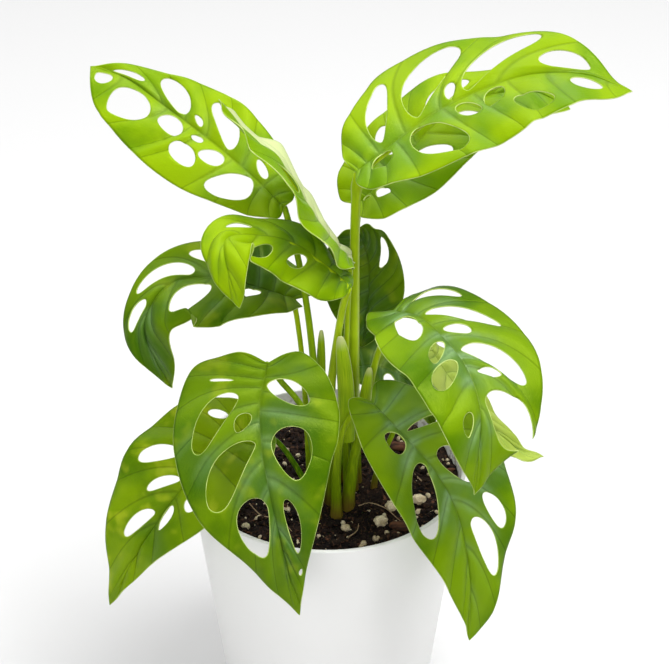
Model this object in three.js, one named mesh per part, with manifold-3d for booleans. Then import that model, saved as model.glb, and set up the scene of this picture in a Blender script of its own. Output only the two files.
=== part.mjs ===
// Potted Swiss cheese vine (Monstera adansonii) in a plain white pot.
// Millimetres, +Z up. The origin is the centre of the pot's flat base, and the pot's front faces -Y.
// Each leaf is a thin blade with holes on a stalk of its own, which stands in a socket in the soil.
// Heights in the tables of leaves, stalks and sheaths are above the soil at the foot of the plant.
import * as THREE from 'three';
import { mergeVertices } from 'three/addons/utils/BufferGeometryUtils.js';
import Module from 'manifold-3d';

// ---- Driving dimensions ---------------------------------------------------------------------
const POT_HEIGHT = 140;
const POT_RIM_RADIUS = 65;
const POT_BASE_RADIUS = 50;
const POT_WALL = 2.2;
const POT_FLOOR = 4;
const POT_EDGE_ROUND = 9;
const RIM_ROUND = 0.8;
const FLOOR_ROUND = 6;
const SOIL_BELOW_RIM = 7;
const SOIL_MOUND = 2;
const SOCKET_DEPTH = 7;
const BLADE_THICKNESS = 1.0;
const SHEATH_THICKNESS = 1.0;
const CLEARANCE = 0.3;

// How finely round and bent shapes are divided.
const POT_SIDES = 40;
const SOCKET_SIDES = 10;
const STALK_SIDES = 6;
const STALK_STEPS = 12;
const SHEATH_STEPS = 7;
const HOLE_SIDES = 8;
const BLADE_COLUMNS = 4;
const LONG_BLADE = 80;
const LONG_BLADE_ROWS = 13;
const SHORT_BLADE_ROWS = 9;

const soilTop = POT_HEIGHT - SOIL_BELOW_RIM;

// ---- Leaves ---------------------------------------------------------------------------------
// midrib: points along the blade's middle from the stalk to the tip.
// face: which way the upper side looks, at the base and at the tip.
// left, right: half widths at 8, 30, 52, 74 and 92 percent of the midrib.
// lobe: how far the left and right base lobes reach back, as a share of the length.
// fold: degrees each half lifts from flat: left base, left tip, right base, right tip.
// curl: degrees each half bends back towards its margin: left, right.
// holes: side, from and to along the side veins (0 base, 1 tip),
//        from and to across (0 midrib, 1 margin), lean towards the tip.
const LEAVES = [
  {
    name: 'upper_left',
    midrib: [[-18, -4, 143], [-30, 8, 150], [-50, 22, 162], [-70, 34, 173], [-86, 42, 182],
      [-102, 46, 186]],
    face: [[-0.1, -0.6, 0.8], [-0.1, -0.6, 0.8]],
    left: [14, 23, 26, 23, 18],
    right: [12, 20, 20, 12, 3.5],
    lobe: [0.02, 0],
    fold: [10, 10, 10, 10],
    curl: [20, 20],
    holes: [
      ['L', 0.32, 0.47, 0.05, 0.84, 0], ['L', 0.51, 0.59, 0.06, 0.38, 0],
      ['L', 0.55, 0.65, 0.32, 0.66, -0.05], ['L', 0.62, 0.66, 0.06, 0.2, 0],
      ['L', 0.68, 0.76, 0.06, 0.42, -0.03], ['L', 0.76, 0.89, 0.12, 0.86, -0.04],
      ['L', 0.92, 0.965, 0.25, 0.88, 0], ['R', 0.33, 0.41, 0.14, 0.4, 0.02],
      ['R', 0.51, 0.61, 0.09, 0.8, 0.03], ['R', 0.65, 0.68, 0.12, 0.34, 0],
      ['R', 0.68, 0.77, 0.12, 0.92, -0.03], ['R', 0.82, 0.92, 0.39, 0.78, -0.05],
    ],
  },
  {
    name: 'mid_left',
    midrib: [[-14, -2, 97], [-29, -4, 104], [-45, -4, 109], [-64, -6, 109], [-74, -12, 103],
      [-78, -20, 90], [-67, -28, 68]],
    face: [[0, -0.3, 1], [-0.5, -0.8, 0.5]],
    left: [14, 26, 26, 16, 8],
    right: [24, 20, 14, 10, 4],
    lobe: [0.02, 0.1],
    fold: [20, 20, 10, 10],
    curl: [20, 20],
    holes: [
      ['L', 0.35, 0.42, 0.13, 0.38, 0], ['L', 0.54, 0.68, 0.18, 0.8, 0.07],
      ['R', 0.48, 0.55, 0.23, 0.8, 0.03], ['R', 0.59, 0.69, 0.1, 0.83, 0.02],
      ['R', 0.73, 0.79, 0.2, 0.81, -0.03],
    ],
  },
  {
    name: 'front_left',
    midrib: [[-25, -38, 87], [-28, -52, 75], [-27, -66, 62], [-24, -76, 49], [-19, -84, 27],
      [-12, -90, -6]],
    face: [[0, -0.5, 0.85], [0, -0.9, 0.4]],
    left: [31, 32, 23, 11, 3],
    right: [31, 36, 31, 16, 5],
    lobe: [0.06, 0.02],
    fold: [5, 5, 5, 5],
    curl: [15, 15],
    holes: [
      ['L', 0.22, 0.345, 0.06, 0.64, 0.05], ['L', 0.44, 0.6, 0.15, 0.74, 0],
      ['L', 0.66, 0.76, 0.33, 0.8, 0.04], ['L', 0.79, 0.81, 0.8, 0.92, -0.02],
      ['R', 0.28, 0.294, 0.4, 0.7, 0.02], ['R', 0.34, 0.45, 0.26, 0.8, 0.1],
      ['R', 0.4, 0.46, 0.09, 0.3, 0.02], ['R', 0.5, 0.6, 0.07, 0.84, 0.06],
      ['R', 0.64, 0.77, 0.12, 0.82, 0],
    ],
  },
  {
    name: 'low_left',
    midrib: [[-33, -24, 42], [-50, -34, 34], [-65, -44, 24], [-81, -50, 1], [-92, -52, -20],
      [-99, -52, -34]],
    face: [[-0.4, -0.5, 0.8], [-0.5, -0.8, 0.4]],
    left: [24, 25, 17, 7, 2],
    right: [29, 33, 29, 17, 5],
    lobe: [0.05, 0.05],
    fold: [10, 10, 10, 10],
    curl: [10, 10],
    holes: [
      ['L', 0.51, 0.56, 0.37, 0.66, -0.03], ['L', 0.61, 0.68, 0.1, 0.51, 0],
      ['R', 0.22, 0.29, 0.5, 0.72, 0.02], ['R', 0.45, 0.52, 0.34, 0.82, 0.04],
      ['R', 0.55, 0.6, 0.1, 0.48, 0.05], ['R', 0.67, 0.74, 0.14, 0.66, 0.04],
    ],
  },
  {
    name: 'front_right',
    midrib: [[19, -30, 62], [32, -41, 53], [46, -52, 41], [56, -61, 24], [61, -70, 0], [62, -78, -32]],
    face: [[0.3, -0.5, 0.8], [0.4, -0.9, 0.3]],
    left: [20, 30, 27, 16, 9],
    right: [18, 25, 24, 13, 3],
    lobe: [0.04, 0.05],
    fold: [10, 10, 10, 10],
    curl: [10, 10],
    holes: [
      ['L', 0.36, 0.395, 0.08, 0.7, 0.02], ['L', 0.48, 0.59, 0.13, 0.5, 0.02],
      ['L', 0.6, 0.655, 0.52, 0.88, 0.01], ['L', 0.67, 0.77, 0.22, 0.9, 0.02],
      ['R', 0.32, 0.415, 0.07, 0.47, -0.02], ['R', 0.48, 0.62, 0.1, 0.86, 0.08],
    ],
  },
  {
    name: 'mid_right',
    midrib: [[28, -24, 104], [40, -34, 106], [55, -56, 99], [61, -74, 88], [60, -84, 73], [59, -88, 56]],
    face: [[0.1, -0.1, 1], [0.4, -0.9, 0.4]],
    left: [22, 31, 30, 22, 6],
    right: [24, 29, 26, 18, 4],
    lobe: [0, 0.05],
    fold: [10, 10, 10, 10],
    curl: [15, 15],
    holes: [
      ['L', 0.24, 0.32, 0.34, 0.84, 0.1], ['L', 0.37, 0.45, 0.08, 0.8, 0.13],
      ['L', 0.46, 0.51, 0.07, 0.37, 0.03], ['L', 0.57, 0.645, 0.07, 0.8, 0.05],
      ['L', 0.65, 0.675, 0.13, 0.46, -0.01], ['L', 0.695, 0.8, 0.14, 1.04, -0.02],
      ['R', 0.29, 0.45, 0.14, 0.6, 0], ['R', 0.51, 0.565, 0.09, 0.54, 0.02],
      ['R', 0.58, 0.66, 0.15, 0.78, 0], ['R', 0.75, 0.8, 0.38, 0.7, 0],
    ],
  },
  {
    name: 'back_centre',
    midrib: [[14, 28, 116], [19, 30, 98], [19, 28, 79], [16, 22, 57]],
    face: [[0, -1, 0.2], [0, -1, 0.2]],
    left: [10, 14, 16, 13, 5],
    right: [16, 20, 21, 16, 6],
    lobe: [0.02, 0.02],
    fold: [10, 10, 10, 10],
    curl: [10, 10],
    holes: [
      ['L', 0.37, 0.48, 0.3, 0.85, -0.2], ['R', 0.3, 0.38, 0.3, 0.66, 0], ['R', 0.5, 0.6, 0.3, 0.7, 0],
    ],
  },
  {
    name: 'top_right',
    midrib: [[12, -12, 163], [32, -4, 176], [46, 2, 184], [65, 6, 192], [84, 6, 198], [104, 0, 200],
      [122, -8, 196]],
    face: [[-0.1, -0.5, 0.85], [0, -0.5, 0.85]],
    left: [22, 33, 27, 20, 4],
    right: [20, 30, 32, 28, 15],
    lobe: [0, 0.02],
    fold: [0, 0, 20, 20],
    curl: [15, 15],
    holes: [
      ['L', 0.31, 0.41, 0.12, 0.87, 0.08], ['L', 0.46, 0.57, 0.07, 0.92, 0.06],
      ['L', 0.575, 0.605, 0.07, 0.32, 0], ['L', 0.62, 0.71, 0.07, 0.94, 0.04],
      ['L', 0.76, 0.86, 0.3, 0.85, -0.02], ['R', 0.21, 0.32, 0.08, 0.48, -0.04],
      ['R', 0.38, 0.52, 0.06, 0.85, 0], ['R', 0.57, 0.625, 0.12, 0.44, 0],
      ['R', 0.65, 0.71, 0.1, 0.42, -0.05], ['R', 0.68, 0.775, 0.46, 0.87, 0.02],
      ['R', 0.85, 0.92, 0.31, 0.75, 0],
    ],
  },
  {
    name: 'top_right_under',
    midrib: [[13, 10, 137], [30, 22, 150], [51, 38, 166], [67, 44, 172], [89, 44, 175], [106, 38, 169]],
    face: [[-0.1, -0.5, 0.85], [0, -0.5, 0.85]],
    left: [18, 21, 18, 12, 5],
    right: [20, 26, 27, 24, 14],
    lobe: [0.02, 0.03],
    fold: [10, 10, 20, 20],
    curl: [15, 15],
    holes: [
      ['L', 0.4, 0.48, 0.2, 0.8, 0], ['L', 0.6, 0.7, 0.2, 0.8, 0], ['R', 0.15, 0.21, 0.1, 0.3, 0],
      ['R', 0.24, 0.31, 0.2, 0.48, 0], ['R', 0.45, 0.54, 0.15, 0.7, 0], ['R', 0.64, 0.72, 0.2, 0.8, 0],
    ],
  },
  {
    name: 'edge_on',
    midrib: [[11, -19, 124], [-3, -16, 142], [-18, -13, 167], [-31, -10, 178], [-43, -8, 193]],
    face: [[0.75, 0.28, 0.55], [0.75, 0.28, 0.55]],
    left: [14, 18, 15, 9, 3],
    right: [6, 15, 17, 13, 5],
    lobe: [0, 0],
    fold: [-16, -16, 10, 10],
    curl: [0, 0],
    holes: [['L', 0.6, 0.7, 0.3, 0.7, 0]],
  },
  {
    name: 'curled',
    midrib: [[10, -27.5, 118], [1, -25, 126], [-14, -22, 136], [-28, -25, 141], [-40, -33, 144],
      [-40.5, -43, 139], [-35, -50, 121]],
    face: [[0, -0.1, 1], [-0.3, -0.8, 0.5]],
    left: [14, 17, 15, 11, 5],
    right: [7, 13, 12, 9, 4],
    lobe: [0, 0],
    fold: [-40, 0, -22, -5],
    curl: [-20, 0],
    holes: [
      ['L', 0.42, 0.5, 0.15, 0.6, 0], ['L', 0.58, 0.66, 0.3, 0.8, 0], ['R', 0.66, 0.72, 0.25, 0.6, 0],
    ],
  },
  {
    name: 'pale_small',
    midrib: [[47, 6, 66], [58, 0, 51], [74, -6, 33], [88, -10, 21], [99, -12, 19]],
    face: [[0.3, -0.3, 0.9], [0.3, -0.3, 0.9]],
    left: [8, 10, 8, 5, 2],
    right: [12, 15, 13, 9, 4],
    lobe: [0.02, 0.02],
    fold: [10, 10, 10, 10],
    curl: [10, 10],
    holes: [],
  },
  {
    name: 'low_back',
    midrib: [[11, 16, 50], [24, 16, 51], [39, 10, 44], [50, 2, 26]],
    face: [[0.2, -0.3, 0.9], [0.2, -0.3, 0.9]],
    left: [12, 15, 14, 9, 3],
    right: [12, 15, 14, 9, 3],
    lobe: [0.02, 0.02],
    fold: [10, 10, 10, 10],
    curl: [10, 10],
    holes: [['L', 0.5, 0.6, 0.3, 0.7, 0], ['R', 0.5, 0.6, 0.3, 0.7, 0]],
  },
];

// ---- Leaf stalks ----------------------------------------------------------------------------
// foot, top: radius at the foot and under the blade. path: where it stands in the soil, then points
// on its way up; its last point follows from the base of its blade.
const STALKS = [
  {
    name: 'upper_left', foot: 2.1, top: 1.4,
    path: [[-4, -23.5], [-3.5, -20.5, 32], [-6, -14, 72], [-9, -8, 99], [-13, -5, 123]],
  },
  {
    name: 'mid_left', foot: 1.7, top: 1.2,
    path: [[-8, -16], [-9, -12, 32], [-11, -6, 67], [-13, -4, 87]],
  },
  {
    name: 'front_left', foot: 1.8, top: 1.3,
    path: [[-4.5, -31.5], [-5.5, -31.5, 27], [-10, -31, 57], [-20, -33, 75]],
  },
  {
    name: 'low_left', foot: 1.7, top: 1.2,
    path: [[-8, -24], [-11, -23, 15], [-22, -20, 33]],
  },
  {
    name: 'front_right', foot: 2.8, top: 1.4,
    path: [[4, -29.5], [4, -29.5, 25], [6.5, -29, 45], [13, -27.5, 56]],
  },
  {
    name: 'mid_right', foot: 3.2, top: 1.4,
    path: [[9.5, -22.5], [12, -20.5, 25], [16.5, -17, 48], [20.5, -15.5, 70], [25, -18, 89]],
  },
  {
    name: 'back_centre', foot: 1.8, top: 1.2,
    path: [[6, -4], [6, 1, 17], [7, 33, 51], [9, 39, 87], [13, 38, 111]],
  },
  {
    name: 'top_right', foot: 3.2, top: 2.0,
    path: [[11, -10], [11.5, -10.5, 50], [11.5, -10.5, 107], [12, -10, 147]],
  },
  {
    name: 'top_right_under', foot: 2.0, top: 1.4,
    path: [[14, -3], [13, 0, 57], [13, 5, 102], [13, 10, 122]],
  },
  {
    name: 'edge_on', foot: 1.8, top: 1.2,
    path: [[9, -16.5], [8, -16, 57], [9, -15, 103]],
  },
  {
    name: 'curled', foot: 2.8, top: 1.6,
    path: [[1, -20], [1, -20, 32], [2, -20.5, 67], [6, -24, 102]],
  },
  {
    name: 'pale_small', foot: 1.5, top: 1.0,
    path: [[22, -9], [26, -12, 22], [38, -7, 50]],
  },
  {
    name: 'low_back', foot: 1.5, top: 1.0,
    path: [[12, 4], [11.5, 6, 15], [9, 13, 42]],
  },
];

// Sheaths: thin scales that stand in front of the stalks. width: across. path: bottom to top.
const SHEATHS = [
  {
    name: 'sheath_broad', width: 7.2,
    path: [[8.5, -25.6, 37], [8.5, -25, 57], [7.2, -25.4, 77], [5.5, -26, 93]],
  },
  {
    name: 'sheath_right', width: 5,
    path: [[14.6, -23.4, 38], [16, -21.6, 53], [18.6, -19.6, 73]],
  },
  {
    name: 'sheath_left', width: 4,
    path: [[-3.2, -12, 39], [-2.8, -11.5, 62], [-2.5, -11, 87]],
  },
];

// Lumps lying on the soil: place, and radii along x, y and z.
const LUMPS = [
  { name: 'perlite_1', at: [24, -36], radii: [3.2, 2.8, 2.2] },
  { name: 'perlite_2', at: [29, -25], radii: [2.6, 3.2, 2.0] },
  { name: 'perlite_3', at: [42, -20], radii: [3.4, 2.6, 2.2] },
  { name: 'perlite_4', at: [-20, -16], radii: [3.0, 2.4, 2.0] },
  { name: 'perlite_5', at: [8, -40], radii: [2.2, 2.0, 1.6] },
  { name: 'perlite_6', at: [-30, 18], radii: [3.0, 2.6, 2.0] },
  { name: 'bark_1', at: [33, -38], radii: [4.6, 2.2, 1.4] },
  { name: 'bark_2', at: [-38, 0], radii: [2.4, 4.8, 1.6] },
  { name: 'bark_3', at: [34, 22], radii: [5.0, 2.4, 1.6] },
];

// ---- Solids and geometries --------------------------------------------------------------------
const wasm = await Module();
wasm.setup();

const vec = (p) => new THREE.Vector3(p[0], p[1], p[2]);
const overSoil = (p) => new THREE.Vector3(p[0], p[1], p[2] + soilTop);
const smoothCurve = (points) => new THREE.CatmullRomCurve3(points, false, 'catmullrom', 0.5);

// The same surface with shared corners, no empty triangles, and its faces turned outwards.
function closedGeometry(source) {
  const bare = source.clone();
  bare.deleteAttribute('normal');
  bare.deleteAttribute('uv');
  const merged = mergeVertices(bare, 1e-4);
  const pos = merged.attributes.position;
  const triangles = [];
  let volume = 0;
  const a = new THREE.Vector3();
  const b = new THREE.Vector3();
  const c = new THREE.Vector3();
  for (let i = 0; i < merged.index.count; i += 3) {
    const t = [merged.index.getX(i), merged.index.getX(i + 1), merged.index.getX(i + 2)];
    if (t[0] === t[1] || t[1] === t[2] || t[2] === t[0]) continue;
    triangles.push(...t);
    a.fromBufferAttribute(pos, t[0]);
    b.fromBufferAttribute(pos, t[1]);
    c.fromBufferAttribute(pos, t[2]);
    volume += a.dot(b.cross(c)) / 6;
  }
  if (volume < 0) triangles.reverse();
  merged.setIndex(triangles);
  return merged;
}

function toSolid(geometry) {
  const closed = closedGeometry(geometry);
  const mesh = new wasm.Mesh({
    numProp: 3,
    vertProperties: new Float32Array(closed.attributes.position.array),
    triVerts: new Uint32Array(closed.index.array),
  });
  return new wasm.Manifold(mesh);
}

function toGeometry(solid) {
  const mesh = solid.getMesh();
  const g = new THREE.BufferGeometry();
  g.setAttribute('position', new THREE.BufferAttribute(new Float32Array(mesh.vertProperties), 3));
  g.setIndex(Array.from(mesh.triVerts));
  return g;
}

// Moves every corner of a geometry to the place that the given function finds for it.
function reshape(geometry, move) {
  const pos = geometry.attributes.position;
  for (let i = 0; i < pos.count; i += 1) {
    const p = move(pos.getX(i), pos.getY(i), pos.getZ(i));
    pos.setXYZ(i, p.x, p.y, p.z);
  }
  return geometry;
}

// ---- Blades -----------------------------------------------------------------------------------
const STATIONS = [0.08, 0.3, 0.52, 0.74, 0.92];
const LOBE_WIDTH = 0.45;
const VEIN_SPREAD = 1.8;
const VEIN_SWEEP = 1.5;
const LONG_HOLE_POINT = 1.2;

class Blade {
  constructor(leaf) {
    this.leaf = leaf;
    this.curve = smoothCurve(leaf.midrib.map(overSoil));
    this.curve.arcLengthDivisions = 400;
    this.length = this.curve.getLength();
    this.margins = [this.margin(leaf.left, leaf.lobe[0]), this.margin(leaf.right, leaf.lobe[1])];
    this.reach = [Math.max(...leaf.left), Math.max(...leaf.right)];
  }

  // The margin of one half: x is a share of the midrib's length, y is the half width.
  margin(widths, lobe) {
    const points = [new THREE.Vector2(0, 0), new THREE.Vector2(-lobe, LOBE_WIDTH * widths[0])];
    STATIONS.forEach((x, i) => points.push(new THREE.Vector2(x, widths[i])));
    points.push(new THREE.Vector2(1, 0));
    return new THREE.SplineCurve(points);
  }

  // Where a point at share a along the side veins and share t across lands on the flat blade.
  flat(a, t) {
    const edge = this.margins[t > 0 ? 0 : 1].getPoint(a);
    const root = Math.pow(a, VEIN_SPREAD);
    const across = Math.abs(t);
    const x = this.length * (root + (edge.x - root) * Math.pow(across, VEIN_SWEEP));
    return [x, Math.sign(t) * edge.y * across];
  }

  // The place and the upward direction of that point on the bent blade.
  at(a, t) {
    const leaf = this.leaf;
    const [x, y] = this.flat(a, t);
    const k = THREE.MathUtils.clamp(x / this.length, 0, 1);
    const point = this.curve.getPointAt(k);
    const along = this.curve.getTangentAt(k);
    const up = vec(leaf.face[0]).lerp(vec(leaf.face[1]), k);
    up.addScaledVector(along, -up.dot(along)).normalize();
    const side = new THREE.Vector3().crossVectors(up, along);
    const half = t > 0 ? 0 : 1;
    const lift = THREE.MathUtils.degToRad(leaf.fold[2 * half] * (1 - k) + leaf.fold[2 * half + 1] * k);
    const bend = THREE.MathUtils.degToRad(leaf.curl[half]) / this.reach[half];
    const width = Math.abs(y);
    const end = lift - bend * width;
    const flatHalf = Math.abs(bend) < 1e-6;
    const out = flatHalf ? width * Math.cos(lift) : (Math.sin(lift) - Math.sin(end)) / bend;
    const rise = flatHalf ? width * Math.sin(lift) : (Math.cos(end) - Math.cos(lift)) / bend;
    point.addScaledVector(along, Math.min(x, 0));
    point.addScaledVector(side, Math.sign(y) * out).addScaledVector(up, rise);
    const normal = up.clone().multiplyScalar(Math.cos(end));
    normal.addScaledVector(side, -Math.sign(y) * Math.sin(end));
    return { point, normal: t === 0 ? up : normal };
  }

  // The same point, lifted off the middle of the blade's thickness.
  lifted(a, t, height) {
    const spot = this.at(a, t);
    return spot.point.addScaledVector(spot.normal, height);
  }
}

// The blade without holes: a flat box laid onto the bent blade, closed to a point at both ends.
function bladeSolid(blade) {
  const rows = blade.length > LONG_BLADE ? LONG_BLADE_ROWS : SHORT_BLADE_ROWS;
  const box = new THREE.BoxGeometry(1, 2, BLADE_THICKNESS, rows, BLADE_COLUMNS, 1);
  return toSolid(reshape(box, (x, y, z) => {
    const a = x + 0.5;
    const atEnd = a < 1e-6 || a > 1 - 1e-6;
    return blade.lifted(a, atEnd ? 0 : y, z);
  }));
}

// The plug that is cut out of a blade to leave one hole.
function holePlug(blade, hole) {
  const [side, from, to, near, far, lean] = hole;
  const sign = side === 'L' ? 1 : -1;
  const lens = far - near > 0.5 ? LONG_HOLE_POINT : 1;
  const power = (v, n) => Math.sign(v) * Math.pow(Math.abs(v), n);
  const plug = new THREE.CylinderGeometry(1, 1, 8 * BLADE_THICKNESS, HOLE_SIDES);
  return toSolid(reshape(plug, (x, y, z) => {
    const across = power(Math.round(z * 1e6) / 1e6, 0.85);
    const along = power(Math.round(x * 1e6) / 1e6, lens);
    const t = (near + far) / 2 + ((far - near) / 2) * across;
    const a = (from + to) / 2 + ((to - from) / 2) * along * (1 + 0.15 * across) + (lean * across) / 2;
    return blade.lifted(a, sign * t, y);
  }));
}

function leafGeometry(blade) {
  let solid = bladeSolid(blade);
  blade.leaf.holes.forEach((hole) => {
    solid = solid.subtract(holePlug(blade, hole));
  });
  return toGeometry(solid);
}

// ---- Stalks and sheaths -----------------------------------------------------------------------
// From the socket in the soil, straight up out of it, and on to just under the base of the blade.
function stalkCurve(stalk, blade) {
  const [x, y] = stalk.path[0];
  const points = [overSoil([x, y, CLEARANCE - SOCKET_DEPTH]), overSoil([x, y, 3])];
  stalk.path.slice(1).forEach((p) => points.push(overSoil(p)));
  points.push(blade.lifted(0, 0, -(BLADE_THICKNESS / 2 + CLEARANCE + 0.7 * stalk.top)));
  return smoothCurve(points);
}

// A rod of radius 1 along the curve, then widened at each step to the stalk's own radius there.
function stalkGeometry(stalk, blade) {
  const curve = stalkCurve(stalk, blade);
  const corners = [];
  for (let i = 0; i < STALK_SIDES; i += 1) {
    const angle = (2 * Math.PI * i) / STALK_SIDES;
    corners.push(new THREE.Vector2(Math.cos(angle), Math.sin(angle)));
  }
  const rod = new THREE.ExtrudeGeometry(new THREE.Shape(corners), {
    steps: STALK_STEPS,
    extrudePath: curve,
    bevelEnabled: false,
  });
  const middles = curve.getSpacedPoints(STALK_STEPS);
  reshape(rod, (x, y, z) => {
    const corner = new THREE.Vector3(x, y, z);
    const gaps = middles.map((middle) => middle.distanceTo(corner));
    const step = gaps.indexOf(Math.min(...gaps));
    const share = Math.min(1, (1.3 * step) / STALK_STEPS);
    const radius = stalk.foot + (stalk.top - stalk.foot) * share;
    return corner.sub(middles[step]).multiplyScalar(radius).add(middles[step]);
  });
  return closedGeometry(rod);
}

// A long flat box bent along its path, facing the front and narrowing to a rounded top.
function sheathGeometry(sheath) {
  const curve = smoothCurve(sheath.path.map(overSoil));
  const box = new THREE.BoxGeometry(1, 1, SHEATH_THICKNESS, SHEATH_STEPS, 2, 1);
  reshape(box, (x, y, z) => {
    const u = THREE.MathUtils.clamp(x + 0.5, 0, 1);
    const along = curve.getTangentAt(u);
    const front = new THREE.Vector3(0, -1, 0.3);
    front.addScaledVector(along, -front.dot(along)).normalize();
    const side = new THREE.Vector3().crossVectors(along, front);
    const width = sheath.width * Math.sqrt(1 - 0.96 * Math.pow(u, 3));
    return curve.getPointAt(u).addScaledVector(side, y * width).addScaledVector(front, z);
  });
  return closedGeometry(box);
}

// ---- Pot and soil -----------------------------------------------------------------------------
// Outer radius of the tapered wall at a height.
function potRadius(z) {
  return POT_BASE_RADIUS + (POT_RIM_RADIUS - POT_BASE_RADIUS) * (z / POT_HEIGHT);
}

// A body turned about +Z from a profile of [radius, height] pairs that starts and ends on the axis.
function turned(profile) {
  const points = profile.map(([radius, height]) => new THREE.Vector2(radius, height));
  return closedGeometry(new THREE.LatheGeometry(points, POT_SIDES).rotateX(Math.PI / 2));
}

// The inside of the pot from the axis out to the wall, moved in by a gap that is 0 for the pot itself.
function innerFloor(gap) {
  const low = POT_FLOOR + gap;
  const corner = potRadius(low + FLOOR_ROUND) - POT_WALL - gap;
  return [[0, low], [corner - FLOOR_ROUND, low], [corner, low + FLOOR_ROUND]];
}

function potGeometry() {
  const profile = [[0, 0]];
  const edge = potRadius(POT_EDGE_ROUND) - POT_EDGE_ROUND;
  for (let i = 0; i <= 4; i += 1) {
    const angle = (Math.PI / 2) * (i / 4);
    profile.push([
      edge + POT_EDGE_ROUND * Math.sin(angle),
      POT_EDGE_ROUND * (1 - Math.cos(angle)),
    ]);
  }
  profile.push([potRadius(POT_HEIGHT - RIM_ROUND), POT_HEIGHT - RIM_ROUND]);
  profile.push([POT_RIM_RADIUS - 0.6 * RIM_ROUND, POT_HEIGHT]);
  profile.push([POT_RIM_RADIUS - POT_WALL + 0.6 * RIM_ROUND, POT_HEIGHT]);
  profile.push([potRadius(POT_HEIGHT - RIM_ROUND) - POT_WALL, POT_HEIGHT - RIM_ROUND]);
  return turned([...profile, ...innerFloor(0).reverse()]);
}

const soilRadius = potRadius(soilTop - SOIL_MOUND) - POT_WALL - CLEARANCE;

// The soil rises by SOIL_MOUND from the wall to the middle, where it is at soilTop.
function soilHeight(radius) {
  const share = Math.min(1, radius / soilRadius);
  return soilTop - SOIL_MOUND * Math.pow(Math.sin((Math.PI / 2) * share), 2);
}

function soilGeometry() {
  const surface = [1, 0.75, 0.5, 0.25, 0].map((share) => share * soilRadius);
  const profile = [...innerFloor(CLEARANCE), ...surface.map((radius) => [radius, soilHeight(radius)])];
  let solid = toSolid(turned(profile));
  STALKS.forEach((stalk) => {
    const radius = stalk.foot + CLEARANCE;
    const socket = new THREE.CylinderGeometry(radius, radius, 2 * SOCKET_DEPTH, SOCKET_SIDES);
    socket.rotateX(Math.PI / 2).translate(stalk.path[0][0], stalk.path[0][1], soilTop);
    solid = solid.subtract(toSolid(socket));
  });
  return toGeometry(solid);
}

function lumpGeometry(lump) {
  const [x, y] = lump.at;
  const ball = new THREE.IcosahedronGeometry(1, 1).scale(...lump.radii);
  ball.translate(x, y, soilHeight(Math.hypot(x, y)) + lump.radii[2] + CLEARANCE);
  return closedGeometry(ball);
}

// ---- The plant --------------------------------------------------------------------------------
const plant = new THREE.Group();
plant.name = 'potted_monstera';

function add(name, geometry, color, roughness) {
  const g = geometry.toNonIndexed();
  g.computeVertexNormals();
  const mesh = new THREE.Mesh(g, new THREE.MeshStandardMaterial({ color, roughness, metalness: 0 }));
  mesh.name = name;
  plant.add(mesh);
}

add('pot', potGeometry(), 0xeeeeea, 0.45);
add('soil', soilGeometry(), 0x2a1c14, 1);
LUMPS.forEach((lump) => {
  const pale = lump.name.startsWith('perlite');
  add(lump.name, lumpGeometry(lump), pale ? 0xd8cbb0 : 0x6b3a22, 1);
});
SHEATHS.forEach((sheath) => {
  add(sheath.name, sheathGeometry(sheath), 0x8fb83a, 0.5);
});
LEAVES.forEach((leaf) => {
  const blade = new Blade(leaf);
  const stalk = STALKS.find((s) => s.name === leaf.name);
  const paleLeaf = leaf.name === 'pale_small';
  add(`stalk_${leaf.name}`, stalkGeometry(stalk, blade), 0x7aa52a, 0.5);
  add(`leaf_${leaf.name}`, leafGeometry(blade), paleLeaf ? 0xb9c46a : 0x4f8a1a, 0.45);
});

export default plant;
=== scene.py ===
"""Potted Swiss cheese vine: a young climbing plant with holed leaves in a plain white plastic pot.

The plant is put together here from the ground up: the table and light, the pot, the potting mix, what
lies on it, then the leaves one by one, each with its stalk, from the back to the front, and last the
sheaths that stand against the stalks.
"""

import math
import random

import bmesh
import bpy
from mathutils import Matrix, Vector, noise


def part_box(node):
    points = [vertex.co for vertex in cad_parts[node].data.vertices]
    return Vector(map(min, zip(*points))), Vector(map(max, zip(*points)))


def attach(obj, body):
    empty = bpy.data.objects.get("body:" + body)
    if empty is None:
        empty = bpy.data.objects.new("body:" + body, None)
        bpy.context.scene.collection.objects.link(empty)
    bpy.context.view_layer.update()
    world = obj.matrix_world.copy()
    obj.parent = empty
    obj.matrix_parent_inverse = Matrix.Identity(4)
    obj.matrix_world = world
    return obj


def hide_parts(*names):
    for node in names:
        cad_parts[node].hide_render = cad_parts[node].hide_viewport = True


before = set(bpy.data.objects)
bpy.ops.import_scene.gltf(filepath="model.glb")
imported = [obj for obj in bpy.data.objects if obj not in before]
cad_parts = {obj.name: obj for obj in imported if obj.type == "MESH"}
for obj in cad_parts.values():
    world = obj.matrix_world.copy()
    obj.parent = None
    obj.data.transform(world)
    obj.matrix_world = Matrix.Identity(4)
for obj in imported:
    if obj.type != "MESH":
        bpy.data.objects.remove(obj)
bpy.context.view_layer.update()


# ---- Table, light and camera ----
# The pot stands on a wide white table top with no visible edge, in a bright room with soft light from
# all round and a little more from the right and from above.

def let_go():
    """Nothing selected, so the next operator only acts on what is made next."""
    if bpy.context.object and bpy.context.object.mode != "OBJECT":
        bpy.ops.object.mode_set(mode="OBJECT")
    bpy.ops.object.select_all(action="DESELECT")


def edit():
    bpy.ops.object.mode_set(mode="EDIT")


def hold(piece):
    """Makes one piece the selected and active one."""
    let_go()
    piece.select_set(True)
    bpy.context.view_layer.objects.active = piece


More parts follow.
